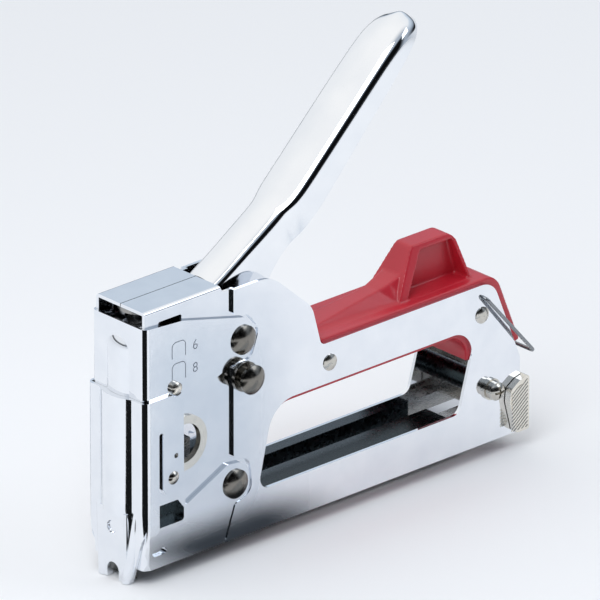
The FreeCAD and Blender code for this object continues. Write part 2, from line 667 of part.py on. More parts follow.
def plunger():
    """The sliding block, with a slot that the lifter's tip works in."""
    back = 17.0
    slot_low, slot_high = TIP_Z - TIP - TIP_SLACK, TIP_Z + TIP + TIP_SLACK
    body = joined(block(BLADE_BACK, back, PLUNGER_HALF, PLUNGER_Z, plunger_top()),
                  block(BLADE_BACK, 25, PLUNGER_HALF, PLUNGER_Z, slot_low - 2.2))
    front = TIP_X - TIP - 3.2
    slot = [(front, slot_low, 0), (TIP_X - 1.6, slot_low, 0), (26, slot_low - 4, 0),
            (26, slot_high + 8, 0), (back + 0.5, slot_high + 5, 0), (TIP_X - 0.6, slot_high, 0),
            (front, slot_high, 0)]
    cuts = [plate(slot, -LIFTER_HALF - GAP, LIFTER_HALF + GAP),
            Part.makeCylinder(1.5, 9, V(BLADE_BACK - 1, 0, 36), V(1, 0, 0))]
    return body.cut(Part.makeCompound(cuts))


def driver_blade():
    blade = block(BLADE_FRONT, BLADE_BACK, BLADE_HALF, 0.3 - NOSE_DROP, plunger_top() - 4)
    return blade.cut(Part.makeCylinder(1.5, 9, V(BLADE_FRONT - 1, 0, 36), V(1, 0, 0)))


def blade_rivet():
    return Part.makeCylinder(1.5, 7, V(BLADE_FRONT, 0, 36), V(1, 0, 0))


SPRING_X = 10.4


def spring_span():
    return plunger_top(), HEIGHT - SHEET - 2.4


def main_spring():
    low, high = spring_span()
    spring = coil(SPRING_RADIUS, SPRING_WIRE, SPRING_TURNS, high - low)
    spring.translate(V(SPRING_X, 0, low))
    return spring


def spring_seat():
    low, high = spring_span()
    cup = Part.makeCylinder(SPRING_RADIUS + 1.6, HEIGHT - SHEET - high, V(SPRING_X, 0, high))
    peg = Part.makeCylinder(SPRING_RADIUS - SPRING_WIRE / 2 - 0.4, 6, V(SPRING_X, 0, high - 5))
    return joined(cup, peg)


def bumper():
    return block(4, 24, 8, 23.2, PLUNGER_Z - 0.2)


def anchor_block():
    return block(STRIP_X + 0.2, 19.5, FRONT_INSIDE - TOUCH, BAR_HEIGHT - 0.6, 23.2)


# The magazine

def magazine_channel():
    rear = OPENING_REAR + 4
    outer = block(STRIP_X, rear, CHANNEL_HALF, 0.8, CHANNEL_TOP)
    inner = block(STRIP_X - 1, rear + 1, CHANNEL_HALF - CHANNEL_SHEET, 0, CHANNEL_TOP - CHANNEL_SHEET)
    lips = []
    for side in (-1, 1):
        near, far = sorted((side * (RAIL_HALF - 1.2), side * (CHANNEL_HALF - 0.5)))
        lips.append(Part.makeBox(30, far - near, 0.6, V(rear - 32, near, 0.8)))
    return joined(outer.cut(inner), *lips)


def staple_strip():
    half = BLADE_HALF
    legs = block(STRIP_X, STRIP_X + STRIP_LENGTH, half, STRIP_BOTTOM, STRIP_TOP)
    return legs.cut(block(0, STRIP_X + STRIP_LENGTH + 1, half - STAPLE_WIRE, 0, STRIP_TOP - STAPLE_WIRE))


RAIL_BOTTOM = 1.6
RAIL_END = LENGTH - 0.9


def core_rail():
    """The channel that holds the staples up from inside, with an end plate for the knob."""
    body = block(STRIP_X + 0.4, RAIL_END, RAIL_HALF, RAIL_BOTTOM, RAIL_TOP)
    body = body.cut(block(0, RAIL_END - 1, RAIL_HALF - 1, 0, RAIL_TOP - 1))
    body = joined(body, block(RAIL_END - 1, RAIL_END + SHEET, RAIL_HALF, RAIL_BOTTOM, BAR_HEIGHT))
    slot = block(STRIP_X + STRIP_LENGTH + 1, OPENING_REAR, 1.3, 0, 20)
    hole = Part.makeCylinder(1.5, 9, V(RAIL_END - 4, 0, 9.6), V(1, 0, 0))
    return body.cut(Part.makeCompound([slot, hole]))


FOLLOWER_X = STRIP_X + STRIP_LENGTH + 0.2


def follower():
    """A saddle over the rail, with a tongue down through the rail's slot."""
    length = 12
    inside = RAIL_HALF + 0.15
    body = block(FOLLOWER_X, FOLLOWER_X + length, BLADE_HALF, STRIP_BOTTOM + 0.4, STRIP_TOP)
    body = body.cut(block(0, LENGTH, inside, 0, RAIL_TOP + 0.04))
    tongue = block(FOLLOWER_X + 4, FOLLOWER_X + 6, 1.0, 2.6, STRIP_TOP)
    return joined(body, tongue)


def follower_spring():
    length = 46
    spring = coil(1.7, 0.5, 30, length)
    spring.rotate(V(0, 0, 0), V(0, 1, 0), 90)
    spring.translate(V(FOLLOWER_X + 3.6 - length, 0, 3.9))
    return spring


def knob_outline():
    x = RAIL_END + SHEET + 1.5
    return [(x - 6, 1.2, 1), (x, 1.2, 1), (x, 21.6, 0.8), (x - 4.5, 20.6, 3),
            (x - 8.6, 18, 2.5), (x - 9.2, 13.4, 3)]


def pull_knob():
    """A U-shaped pull round the heel, with a ribbed wing on each side."""
    back = RAIL_END + SHEET
    out = SIDE + GAP + KNOB_WING
    body = plate(knob_outline(), -out, out)
    body = body.cut(block(0, back, SIDE + GAP, 0, 40))
    hole = Part.makeCylinder(1.5, 9, V(back - 4, 0, 9.6), V(1, 0, 0))
    return body.cut(hole)


def knob_rivet():
    back = RAIL_END + SHEET + 1.5
    shank = Part.makeCylinder(1.5, back - RAIL_END + 1, V(RAIL_END - 1, 0, 9.6), V(1, 0, 0))
    head = dome(0, 0, 2.8, 1.0, 0)
    head.rotate(V(0, 0, 0), V(0, 0, 1), -90)
    head.translate(V(back, 0, 9.6))
    return joined(shank, head)


os.makedirs("parts", exist_ok=True)
right = right_shell()
write("right_shell", right)
write("left_shell", mirrored(right))
for piece in (front_housing, nose_plate, nose_plate_rivets, locating_studs, window_bushes,
              anchor_block, upper_rivet, lifter_pivot, lower_rivet, grip_insert, grip_rivets,
              rear_screw, rear_washers, rear_nut, rear_spacer, lock_bail, handle, drive_pin,
              lifter, plunger, driver_blade, blade_rivet, main_spring, spring_seat, bumper,
              magazine_channel, staple_strip, core_rail, follower, follower_spring, pull_knob,
              knob_rivet):
    write(piece.__name__, piece())
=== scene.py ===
# %% [markdown]
# # A hand staple gun in chrome plate and red plastic
# The metal body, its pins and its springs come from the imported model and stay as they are.
# What this file adds is light, finishes, and the pieces whose soft or pressed shapes need a
# mesh: the handle, the grip insert, the knurled pull and the engraved marks.

# %% Load the frame
import json
import math
import bmesh
import bpy
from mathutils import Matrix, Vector


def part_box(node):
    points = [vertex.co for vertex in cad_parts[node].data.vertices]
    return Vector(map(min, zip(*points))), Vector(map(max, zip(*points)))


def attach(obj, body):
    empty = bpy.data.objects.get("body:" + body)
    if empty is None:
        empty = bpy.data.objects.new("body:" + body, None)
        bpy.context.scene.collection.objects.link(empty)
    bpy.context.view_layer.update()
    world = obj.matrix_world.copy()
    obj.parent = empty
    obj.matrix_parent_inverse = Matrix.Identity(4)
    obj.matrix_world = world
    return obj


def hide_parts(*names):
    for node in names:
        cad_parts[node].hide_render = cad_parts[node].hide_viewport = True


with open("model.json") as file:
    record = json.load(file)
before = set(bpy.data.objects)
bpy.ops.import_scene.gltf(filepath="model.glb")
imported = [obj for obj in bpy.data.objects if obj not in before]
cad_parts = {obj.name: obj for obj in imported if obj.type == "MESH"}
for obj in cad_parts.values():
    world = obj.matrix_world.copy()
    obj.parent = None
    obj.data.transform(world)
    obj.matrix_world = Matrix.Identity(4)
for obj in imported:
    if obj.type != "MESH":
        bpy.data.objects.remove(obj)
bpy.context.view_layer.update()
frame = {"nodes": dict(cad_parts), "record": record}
MM = 0.001

# %% [markdown]
# ## Camera
# A long lens from well back keeps the parallel edges of the body nearly parallel, as a
# catalogue view does. The camera looks down a little, at the nose and the left side.

# %% Place the camera
AIM = Vector((0.0713, -0.0133, 0.0852))
DISTANCE = 5.09
AZIMUTH = math.radians(42.73)
ELEVATION = math.radians(23.57)
ahead = Vector((math.sin(AZIMUTH) * math.cos(ELEVATION),
                math.cos(AZIMUTH) * math.cos(ELEVATION), -math.sin(ELEVATION)))
lens = bpy.data.cameras.new("camera")
lens.lens = 900
lens.clip_end = 20
camera = bpy.data.objects.new("camera", lens)
camera.location = AIM - ahead * DISTANCE
camera.rotation_euler = ahead.to_track_quat("-Z", "Y").to_euler()
bpy.context.scene.collection.objects.link(camera)
bpy.context.scene.camera = camera
print("camera at", tuple(round(v, 3) for v in camera.location))

# %% [markdown]
# ## Small helpers
# Colours are written as the hex codes of a colour picker, which are sRGB, and the shader
# wants them linear, so one function turns them. One more function adds a node, sets it and
# links it.

# %% Colour and node helpers
def linear(code):
    """An sRGB hex code as linear red, green, blue and full alpha."""
    values = [int(code[i:i + 2], 16) / 255 for i in (0, 2, 4)]
    return tuple(v / 12.92 if v <= 0.04045 else ((v + 0.055) / 1.055) ** 2.4
                 for v in values) + (1.0,)


def add_node(tree, kind, inputs=None, **settings):
    """One shader node; each input takes a value or another node's output."""
    made = tree.nodes.new("ShaderNode" + kind)
    for name, value in settings.items():
        setattr(made, name, value)
    for name, value in (inputs or {}).items():
        if isinstance(value, bpy.types.NodeSocket):
            tree.links.new(value, made.inputs[name])
        else:
            made.inputs[name].default_value = value
    return made


# %% [markdown]
# ## Light
# Chrome has no colour of its own: it shows the room. Such a tool is usually shown on a
# white table under a wide white tent, with a dark gap between the two. Flat faces
# then go white, and every bend picks up the gap as a black line. The tent and the gap are
# in the world and the table is a plane. A dark fan beyond the nose and three soft cards
# beside the tool lie on the table, where only reflections can see them.

# %% World, table and cards
world = bpy.data.worlds.new("studio_tent")
bpy.context.scene.world = world
world.use_nodes = True
tree = world.node_tree
tree.nodes.clear()
direction = add_node(tree, "TexCoord").outputs["Generated"]
height = add_node(tree, "SeparateXYZ", {"Vector": direction}).outputs["Z"]


TENT_STOPS = [(0.0, "E9ECF0"), (0.012, "33353A"), (0.05, "4A4D52"), (0.1, "EEF1F5"),
              (1.0, "FFFFFF")]
BLUE_STOPS = [(0.0, "DDE1E7"), (0.015, "2A2C30"), (0.08, "1E2023"), (0.2, "9AA6B4"),
              (0.34, "C6D2DF"), (0.46, "D3DEEA"), (0.6, "F6F9FC"), (1.0, "FFFFFF")]
FLAG_STOPS = [(0.0, "3A3C40"), (0.03, "0C0D0F"), (0.52, "0E0F11"), (0.6, "3F444B"),
              (0.7, "9AA5B3"), (0.84, "DDE3EA"), (1.0, "FFFFFF")]
TOWARDS_HEEL = (1, 0, 0)
TOWARDS_LEFT = (-0.25, -0.97, 0)


def ramp(value, stops):
    """A colour ramp through stops of place and hex code."""
    made = add_node(tree, "ValToRGB", {"Fac": value})
    elements = made.color_ramp.elements
    elements[0].position, elements[0].color = stops[0][0], linear(stops[0][1])
    elements[1].position, elements[1].color = stops[-1][0], linear(stops[-1][1])
    for place, code in stops[1:-1]:
        elements.new(place).color = linear(code)
    return made.outputs["Color"]


def sector(way, start, full):
    """How far a direction points along way: 0 up to start, 1 from full on."""
    along = add_node(tree, "VectorMath", {0: direction}, operation="DOT_PRODUCT")
    along.inputs[1].default_value = way
    return add_node(tree, "MapRange", {"Value": along.outputs["Value"], "From Min": start,
                                       "From Max": full},
                    interpolation_type="SMOOTHSTEP").outputs["Result"]


def blend_colour(factor, first, second):
    """One colour where factor is 0, the other where it is 1."""
    made = add_node(tree, "Mix", {"Factor": factor}, data_type="RGBA")
    for socket, colour in ((made.inputs[6], first), (made.inputs[7], second)):
        if isinstance(colour, bpy.types.NodeSocket):
            tree.links.new(colour, socket)
        else:
            socket.default_value = colour
    return made.outputs[2]


tent = ramp(height, TENT_STOPS)
blue = ramp(height, BLUE_STOPS)
flagged = ramp(height, FLAG_STOPS)
room = blend_colour(sector(TOWARDS_HEEL, 0.3, 0.5), tent, blue)
room = blend_colour(sector(TOWARDS_LEFT, -0.05, 0.6), room, linear("A7B1BE"))
room = blend_colour(sector(TOWARDS_LEFT, 0.52, 0.74), room, flagged)
background = add_node(tree, "Background", {"Color": room, "Strength": 1.0})
shown = add_node(tree, "OutputWorld", {"Surface": background.outputs["Background"]})


def plain_surface(name, code, roughness):
    """A matt studio surface."""
    material = bpy.data.materials.new(name)
    material.use_nodes = True
    shader = material.node_tree.nodes["Principled BSDF"]
    shader.inputs["Base Color"].default_value = linear(code)
    shader.inputs["Roughness"].default_value = roughness
    shader.inputs["Specular IOR Level"].default_value = 0.1
    return material


def card(name, size, centre, turn, material):
    """A flat studio card that isn't part of the object."""
    bpy.ops.mesh.primitive_plane_add(size=1, location=centre, rotation=turn)
    made = bpy.context.object
    made.name = name
    made.scale = (size[0], size[1], 1)
    made.data.materials.append(material)
    return made


def fan(name, gap, reach, spread, material):
    """A dark fan on the table, opening from the nose towards the camera's side."""
    bpy.ops.mesh.primitive_circle_add(vertices=64, radius=reach, fill_type="TRIFAN",
                                      location=(0, 0, 0.0006))
    made = bpy.context.object
    made.name = name
    middle = Vector((math.sin(AZIMUTH), math.cos(AZIMUTH))) * -1
    bpy.ops.object.mode_set(mode="EDIT")
    bpy.ops.mesh.select_all(action="DESELECT")
    cage = bmesh.from_edit_mesh(made.data)
    for face in cage.faces:
        way = Vector(face.calc_center_median()[:2])
        face.select = way.angle(middle) > spread
    bmesh.update_edit_mesh(made.data)
    bpy.ops.mesh.delete(type="FACE")
    bpy.ops.mesh.select_all(action="SELECT")
    bpy.ops.mesh.bisect(plane_co=middle.to_3d() * gap, plane_no=middle.to_3d(), clear_inner=True)
    bpy.ops.object.mode_set(mode="OBJECT")
    made.data.materials.append(material)
    return made


def only_mirrored(card_piece):
    """Leaves a card to reflections alone."""
    card_piece.visible_camera = False
    card_piece.visible_diffuse = False
    card_piece.visible_shadow = False


bpy.ops.object.select_all(action="DESELECT")
table = card("table", (3.0, 3.0), (0.1, 0, -0.0002), (0, 0, 0),
             plain_surface("white_table", "F6F7F9", 0.9))
only_mirrored(fan("dark_fan", 0.045, 0.34, math.radians(42),
                  plain_surface("dark_felt", "08090A", 1.0)))


def soft_card(name, size, centre, code, strength, turn=0.0):
    """A reflection card that fades out towards its edges."""
    material = plain_surface(name, code, 1.0)
    tree = material.node_tree
    place = add_node(tree, "TexCoord").outputs["Object"]
    parts = add_node(tree, "SeparateXYZ", {"Vector": place})
    fades = []
    for axis in "XY":
        far = add_node(tree, "Math", {0: parts.outputs[axis]}, operation="ABSOLUTE")
        fades.append(add_node(tree, "MapRange", {"Value": far.outputs[0], "From Min": 0.5,
                                                 "From Max": 0.12},
                              interpolation_type="SMOOTHSTEP").outputs["Result"])
    both = add_node(tree, "Math", {0: fades[0], 1: fades[1]}, operation="MULTIPLY")
    shown = add_node(tree, "Math", {0: both.outputs[0], 1: strength}, operation="MULTIPLY")
    tree.links.new(shown.outputs[0], tree.nodes["Principled BSDF"].inputs["Alpha"])
    only_mirrored(card(name, size, centre, (0, 0, math.radians(turn)), material))


# The lower front of the left side mirrors the first card, the housing above it the second.
soft_card("slate_card", (0.115, 0.064), (0.05, -0.017, 0.0012), "2E343A", 0.97)
soft_card("haze_card", (0.3, 0.075), (0.105, -0.1, 0.0009), "B9C6D3", 0.6, -47)
soft_card("back_card", (0.09, 0.2), (0.03, 0.11, 0.001), "8E98A4", 0.75)


LAMP_AIM = Vector((0.09, 0, 0.06))


def softbox(name, place, size, power, code="FFFFFF"):
    """A square lamp that faces the tool."""
    lamp = bpy.data.lights.new(name, "AREA")
    lamp.energy = power
    lamp.size = size
    lamp.color = linear(code)[:3]
    made = bpy.data.objects.new(name, lamp)
    made.location = place
    made.rotation_euler = (LAMP_AIM - Vector(place)).to_track_quat("-Z", "Y").to_euler()
    bpy.context.scene.collection.objects.link(made)


softbox("key_lamp", (-0.55, -0.35, 1.1), 0.7, 5.5)
softbox("side_lamp", (0.75, -0.7, 0.75), 0.5, 1.5, "F4F8FF")
bpy.context.scene.view_settings.view_transform = "Standard"
print("studio ready")

# %% [markdown]
# ## Finishes
# **Chrome plate** is a thin bright layer on pressed steel: it mirrors, but the steel under
# it was rolled and pressed, so reflections swim a little, and handling leaves faint smears.
# A slow noise in the bump gives the swim, and a second one shifts the colour and the
# roughness together. The other metals are made the same way, with a coarser polish.

# %% Metals
def metal(name, light, dark, rough, swim_mm, swim, grain_mm, stretch=(1, 1, 1)):
    """A metal whose colour and roughness drift between two values, with a slow waviness."""
    material = bpy.data.materials.new(name)
    material.use_nodes = True
    tree = material.node_tree
    shader = tree.nodes["Principled BSDF"]
    place = add_node(tree, "TexCoord").outputs["Object"]
    drawn = add_node(tree, "Mapping", {"Vector": place, "Scale": stretch}).outputs["Vector"]
    smear = add_node(tree, "TexNoise", {"Vector": drawn, "Scale": 1 / (grain_mm * MM),
                                        "Detail": 2.0, "Roughness": 0.5})
    slow = add_node(tree, "TexNoise", {"Vector": place, "Scale": 1 / (swim_mm * MM), "Detail": 1.0})
    tone = add_node(tree, "Mix", {"Factor": smear.outputs["Fac"], "A": linear(dark),
                                  "B": linear(light)}, data_type="RGBA")
    tree.links.new(tone.outputs["Result"], shader.inputs["Base Color"])
    gloss = add_node(tree, "MapRange", {"Value": smear.outputs["Fac"], "From Min": 0.3,
                                        "From Max": 0.7, "To Min": rough[0], "To Max": rough[1]})
    tree.links.new(gloss.outputs["Result"], shader.inputs["Roughness"])
    bump = add_node(tree, "Bump", {"Height": slow.outputs["Fac"], "Strength": swim,
                                   "Distance": 0.1 * MM})
    tree.links.new(bump.outputs["Normal"], shader.inputs["Normal"])
    shader.inputs["Metallic"].default_value = 1.0
    return material


finishes = {
    "chrome_plate": metal("chrome_plate", "F7F9FC", "E6EAF0", (0.035, 0.09), 22, 0.12, 9),
    "chrome_handle": metal("chrome_handle", "FAFBFC", "ECEFF3", (0.025, 0.07), 30, 0.1, 12),
    "dark_nickel": metal("dark_nickel", "8F8B84", "73706A", (0.14, 0.24), 3, 0.06, 1.2),
    "bright_nickel": metal("bright_nickel", "D6D3CC", "BFBBB2", (0.12, 0.22), 3, 0.06, 1.2),
    "satin_nickel": metal("satin_nickel", "EDE9E0", "E3DDD1", (0.22, 0.27), 4, 0.05, 4),
    "spring_wire": metal("spring_wire", "9C9FA3", "7D8084", (0.2, 0.34), 2, 0.08, 0.8, (6, 1, 1)),
    "tool_steel": metal("tool_steel", "B2B1AE", "8F8E8B", (0.2, 0.36), 8, 0.08, 1.4, (1, 1, 8)),
    "oiled_steel": metal("oiled_steel", "3E474A", "232B2E", (0.22, 0.36), 4, 0.12, 1.6),
    "zinc_wire": metal("zinc_wire", "C9C9C4", "ABABA6", (0.25, 0.38), 3, 0.06, 1.0),
}
print("metals", sorted(finishes))

# %% [markdown]
# **Moulded plastic** for the grip: a glass-filled nylon or ABS coloured through. The mould
# was lightly polished, so it has a soft gloss with a very fine texture. The colour drifts a
# little from place to place. **Rubber** for the bumper is duller.

# %% Plastic and rubber
def moulded(name, light, dark, rough, texture_mm, depth, coat):
    """A moulded plastic or rubber: fine mould texture, and a slow drift of colour."""
    material = bpy.data.materials.new(name)
    material.use_nodes = True
    tree = material.node_tree
    shader = tree.nodes["Principled BSDF"]
    place = add_node(tree, "TexCoord").outputs["Object"]
    fine = add_node(tree, "TexNoise", {"Vector": place, "Scale": 1 / (texture_mm * MM),
                                       "Detail": 3.0})
    flow = add_node(tree, "TexNoise", {"Vector": place, "Scale": 1 / (26 * MM), "Detail": 2.0})
    tone = add_node(tree, "Mix", {"Factor": flow.outputs["Fac"], "A": linear(dark),
                                  "B": linear(light)}, data_type="RGBA")
    tree.links.new(tone.outputs["Result"], shader.inputs["Base Color"])
    gloss = add_node(tree, "MapRange", {"Value": fine.outputs["Fac"], "From Min": 0.3,
                                        "From Max": 0.7, "To Min": rough[0], "To Max": rough[1]})
    tree.links.new(gloss.outputs["Result"], shader.inputs["Roughness"])
    bump = add_node(tree, "Bump", {"Height": fine.outputs["Fac"], "Strength": depth,
                                   "Distance": 0.05 * MM})
    tree.links.new(bump.outputs["Normal"], shader.inputs["Normal"])
    shader.inputs["IOR"].default_value = 1.53
    shader.inputs["Coat Weight"].default_value = coat
    shader.inputs["Coat Roughness"].default_value = 0.25
    return material


finishes["red_moulding"] = moulded("red_moulding", "CF2A3B", "B81E2F", (0.3, 0.42), 0.35,
                                   0.35, 0.15)
finishes["black_rubber"] = moulded("black_rubber", "1C1C1D", "121213", (0.6, 0.75), 0.5, 0.5, 0.0)

# %% [markdown]
# ## Finish on each piece of the frame
# A frame piece keeps its shape, and only its material slots change: thin chrome on what
# shows, plain or oiled steel on what works inside.

# %% Give each node its finish
NODE_FINISH = {
    "chrome_plate": ["left_shell", "right_shell", "front_housing", "nose_plate"],
    "chrome_handle": ["handle"],
    "dark_nickel": ["upper_rivet", "lifter_pivot", "lower_rivet"],
    "bright_nickel": ["grip_rivets", "nose_plate_rivets", "rear_screw", "rear_washers", "rear_nut",
                      "knob_rivet", "blade_rivet", "drive_pin"],
    "satin_nickel": ["window_bushes", "locating_studs", "pull_knob"],
    "spring_wire": ["main_spring", "follower_spring", "lock_bail"],
    "tool_steel": ["plunger", "lifter", "driver_blade", "spring_seat", "core_rail", "follower"],
    "oiled_steel": ["anchor_block", "rear_spacer", "magazine_channel"],
    "zinc_wire": ["staple_strip"],
    "red_moulding": ["grip_insert"],
    "black_rubber": ["bumper"],
}
for finish, nodes in NODE_FINISH.items():
    for node in nodes:
        slots = frame["nodes"][node].material_slots
        for slot in slots:
            slot.material = finishes[finish]
        if not slots:
            frame["nodes"][node].data.materials.append(finishes[finish])
print("finished", sum(len(nodes) for nodes in NODE_FINISH.values()), "nodes")

# %% [markdown]
# ## Working in edit mode
# An operator acts on everything that is selected, so each step starts with nothing selected
# and then picks its vertices by where they are.

# %% Helpers for edit mode
REACH = 0.02 * MM          # two points this near are the same point
START = 8.0 * MM           # half the size of a starting cube


def start_piece(name, finish, body):
    """Names the active object, gives it its finish and lets it ride on its body."""
    made = bpy.context.object
    made.name = name
    made.data.name = name
    made.data.materials.clear()
    made.data.materials.append(finishes[finish])
    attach(made, body)
    return made


def select_nothing(cage):
    """Clears the selection of a mesh in edit mode."""
    for element in (*cage.verts, *cage.edges, *cage.faces):
        element.select = False


def select_points(piece, test):
    """Selects the vertices that pass the test, and the edges and faces they make up."""
    cage = bmesh.from_edit_mesh(piece.data)
    select_nothing(cage)
    for vertex in cage.verts:
        vertex.select = test(vertex.co)
    cage.select_mode = {"VERT"}
    cage.select_flush_mode()
    bmesh.update_edit_mesh(piece.data)


def near(*points):
    """A test for places that lie on one of the points."""
    return lambda place: any((place - point).length < REACH for point in points)


def modify(piece, kind, **settings):
    """Adds one modifier with its settings and applies it."""
    bpy.ops.object.select_all(action="DESELECT")
    piece.select_set(True)
    bpy.context.view_layer.objects.active = piece
    modifier = piece.modifiers.new("step", kind)
    for key, value in settings.items():
        setattr(modifier, key, value)
    bpy.ops.object.modifier_apply(modifier=modifier.name)


def settle(piece):
    """Puts a piece's place, turn and size into its mesh."""
    bpy.ops.object.select_all(action="DESELECT")
    piece.select_set(True)
    bpy.context.view_layer.objects.active = piece
    bpy.ops.object.transform_apply(location=True, rotation=True, scale=True)


def start_cube(centre):
    """A cube around centre, to be pulled into shape corner by corner."""
    bpy.ops.object.select_all(action="DESELECT")
    bpy.ops.mesh.primitive_cube_add(size=2 * START, location=centre)
    cube = bpy.context.object
    settle(cube)
    return cube


def box_end(centre, x_side):
    """The corners of one end of a starting cube: top left and right, low left and right."""
    return [centre + Vector((x_side, y, z)) * START for z in (1, -1) for y in (-1, 1)]


def move_points(piece, moves):
    """Moves single vertices by an operator, each from one place to another."""
    for start, end in moves:
        select_points(piece, near(start))
        bpy.ops.transform.translate(value=end - start)


def sweep(piece, centre, corner_sets):
    """Pulls the ends of a starting cube to the first two sets of four corners, in the order
    of box_end, and extrudes on through the others."""
    for x_side, corners in zip((-1, 1), corner_sets):
        move_points(piece, zip(box_end(centre, x_side), corners))
    for old, new in zip(corner_sets[1:], corner_sets[2:]):
        select_points(piece, near(*old))
        step = new[0] - old[0]
        bpy.ops.mesh.extrude_region_move(TRANSFORM_OT_translate={"value": step})
        move_points(piece, [(start + step, end) for start, end in zip(old[1:], new[1:])])


DRILL_LENGTH = 40 * MM


def bore(piece, centre, radius):
    """A round hole along y, right through."""
    bpy.ops.object.select_all(action="DESELECT")
    bpy.ops.mesh.primitive_cylinder_add(vertices=64, radius=radius, depth=DRILL_LENGTH,
                                        location=centre, rotation=(math.pi / 2, 0, 0))
    drill = bpy.context.object
    settle(drill)
    modify(piece, "BOOLEAN", object=drill, operation="DIFFERENCE", solver="EXACT")
    bpy.data.objects.remove(drill)


# %% [markdown]
# ## The handle
# The real handle is one blank of 1.2 mm steel, drawn in a press into a channel that is open
# underneath: narrow where it enters the body, then let out by a short joggle to a wider grip,
# and closed at its end like the bowl of a spoon. A box is extruded from one cross-section to
# the next along the channel, its underside is taken off, its two upper edges are rounded,
# and the sheet is thickened inwards last, so that the outside keeps its size.

# %% Cross-sections of the handle
joints = {joint["name"]: joint for joint in frame["record"]["behaviour"]["joints"]}
handle_pivot = Vector(joints["handle_squeeze"]["pos_m"])
grip_lean = math.radians(43.6)
grip_along = Vector((math.cos(grip_lean), 0, math.sin(grip_lean)))
grip_up = Vector((-math.sin(grip_lean), 0, math.cos(grip_lean)))
grip_start = handle_pivot + Vector((28.2, 0, 43.6)) * MM
NARROW, WIDE = 8.0 * MM, 10.0 * MM


def base_section(top, low, half):
    """A section between two points given in millimetres from the pivot."""
    return (handle_pivot + Vector((top[0], 0, top[1])) * MM,
            handle_pivot + Vector((low[0], 0, low[1])) * MM, half)


def grip_section(reach, drop, depth, half):
    """A section across the straight grip, reach millimetres along it."""
    line = grip_start + grip_along * reach * MM
    return line - grip_up * drop * MM, line - grip_up * depth * MM, half


sections = [base_section((-7.6, 20.6), (-8.2, -7.6), NARROW),
            base_section((-6.6, 21.2), (-7.0, -7.8), NARROW),
            base_section((2.6, 26.6), (7.0, -7.6), NARROW),
            base_section((7.6, 29.9), (9.6, 6.0), NARROW),
            base_section((14.8, 34.4), (19.0, 19.8), NARROW),
            base_section((19.6, 37.5), (24.2, 24.6), NARROW),
            base_section((22.6, 39.5), (27.2, 27.0), NARROW * 1.02),
            base_section((26.0, 41.9), (31.2, 30.0), WIDE * 0.97),
            grip_section(2.5, 0, 12.4, WIDE), grip_section(10, 0, 12.0, WIDE),
            grip_section(30, 0, 10.8, WIDE), grip_section(53, 0, 9.4, WIDE * 0.99),
            grip_section(62, 0.3, 9.0, WIDE * 0.96), grip_section(68, 1.1, 8.9, WIDE * 0.86),
            grip_section(72, 2.4, 9.0, WIDE * 0.68), grip_section(74.9, 4.4, 9.1, WIDE * 0.42)]
print("handle sections", len(sections))

# %% Extrude the handle from section to section
bpy.ops.object.select_all(action="DESELECT")
bpy.ops.mesh.primitive_cube_add(size=2 * START, location=handle_pivot)
handle = start_piece("pressed_handle", "chrome_handle", "squeeze_handle")
settle(handle)
bpy.ops.object.mode_set(mode="EDIT")


def corners_of(section):
    """The four corners of a section, in the order of box_end."""
    top, low, half = section
    across = Vector((0, half, 0))
    return top - across, top + across, low - across, low + across


sweep(handle, handle_pivot, [corners_of(section) for section in sections])
print("handle cage", len(handle.data.vertices))

# %% Open the underside, round the crown and give the sheet its thickness
PRESS_RADIUS = 4.0 * MM
CROWN = 1.3 * MM           # how far the middle of the grip stands above its edges
SHEET = 1.2 * MM
PIVOT_BORE = 3.06 * MM
PIN_BORE = 2.5 * MM


def on_line(ends, line):
    """True if each of the places, seen from the side, is a point of the line."""
    return all(min((Vector((end.x, 0, end.z)) - point).length for point in line) < 1.5 * REACH
               for end in ends)


tops = [top for top, low, half in sections]
lows = [low for top, low, half in sections]
cage = bmesh.from_edit_mesh(handle.data)
select_nothing(cage)
for face in cage.faces:
    points = [vertex.co for vertex in face.verts]
    behind = all(min((point - corner).length for corner in corners_of(sections[0])) < 1.5 * REACH
                 for point in points)
    face.select = on_line(points, lows) or behind
bmesh.update_edit_mesh(handle.data)
bpy.ops.mesh.delete(type="FACE")
cage = bmesh.from_edit_mesh(handle.data)
select_nothing(cage)
for edge in cage.edges:
    ends = [vertex.co for vertex in edge.verts]
    along = abs(ends[0].y) > 1 * MM and (ends[0].xz - ends[1].xz).length > 0.1 * MM
    edge.select = along and on_line(ends, tops)
bmesh.update_edit_mesh(handle.data)
bpy.ops.mesh.bevel(offset=PRESS_RADIUS, segments=2, profile=0.5, clamp_overlap=True)
bpy.ops.mesh.select_all(action="SELECT")
bpy.ops.mesh.bisect(plane_co=(0, 0, 0), plane_no=(0, 1, 0))
select_points(handle, lambda place: abs(place.y) < REACH / 2)
bpy.ops.transform.shrink_fatten(value=CROWN)
bpy.ops.mesh.select_all(action="SELECT")
bpy.ops.mesh.remove_doubles(threshold=REACH)
bpy.ops.mesh.normals_make_consistent(inside=False)
bpy.ops.object.mode_set(mode="OBJECT")
modify(handle, "SUBSURF", levels=3, render_levels=3)
modify(handle, "SOLIDIFY", thickness=SHEET, offset=-1, use_even_offset=True)
bore(handle, handle_pivot, PIVOT_BORE)
pin_low, pin_high = (Vector(corner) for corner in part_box("drive_pin"))
bore(handle, (pin_low + pin_high) / 2, PIN_BORE)
bpy.ops.object.shade_smooth_by_angle(angle=math.radians(40))
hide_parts("handle")
print("handle", len(handle.data.polygons), "faces")

# %% [markdown]
# ## The grip insert
# One red moulding closes the gap between the two shells: it lines the hand opening, lies on
# the shells' edges as a ledge, and rises to a hollowed hump that stops the handle. Below the
# ledge the frame's own shape is right, so a copy of it is cut off level there. A low ridge
# and the hump are modelled on top, and a voxel remesh melts the three into one skin with the
# small fillets that a mould has.

